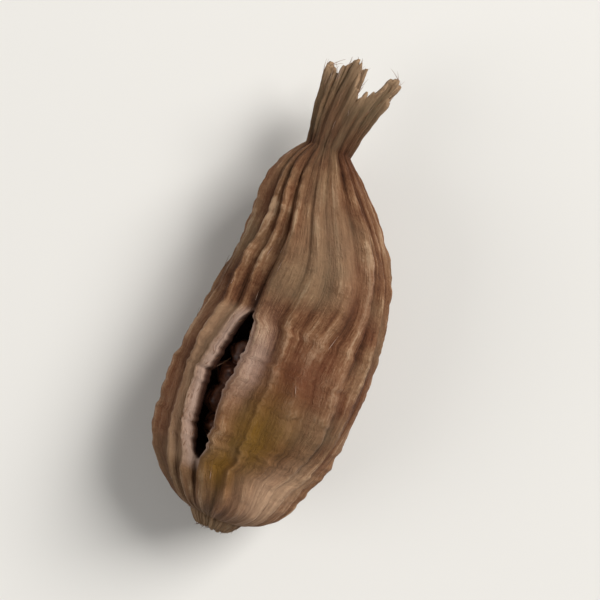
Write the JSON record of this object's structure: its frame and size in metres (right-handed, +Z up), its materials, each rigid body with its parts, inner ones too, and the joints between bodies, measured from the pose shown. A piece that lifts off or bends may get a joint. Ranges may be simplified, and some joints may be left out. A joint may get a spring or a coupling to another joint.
{
  "type": "black cardamom pod",
  "caption": "Dried black cardamom pod lying on its side: ribbed brown husk, stalk scar at one end, torn tuft at the other, and a lengthwise split that shows dark seeds.",
  "frame": {"origin": "on the ground under the middle of the pod's box, where the pod lies on its flat spot", "axes": "+X along the pod from the stalk scar to the tuft, +Y towards the flank with the split, +Z up"},
  "size_m": [0.0396, 0.0156, 0.0132],
  "materials": {
    "husk": "dry fibrous plant skin, matte, darker in the grooves",
    "seeds": "dark brown seeds, slightly glossy with dried pulp"
  },
  "bodies": {
    "root": {"husk": "husk", "seeds": "seeds"}
  },
  "joints": []
}
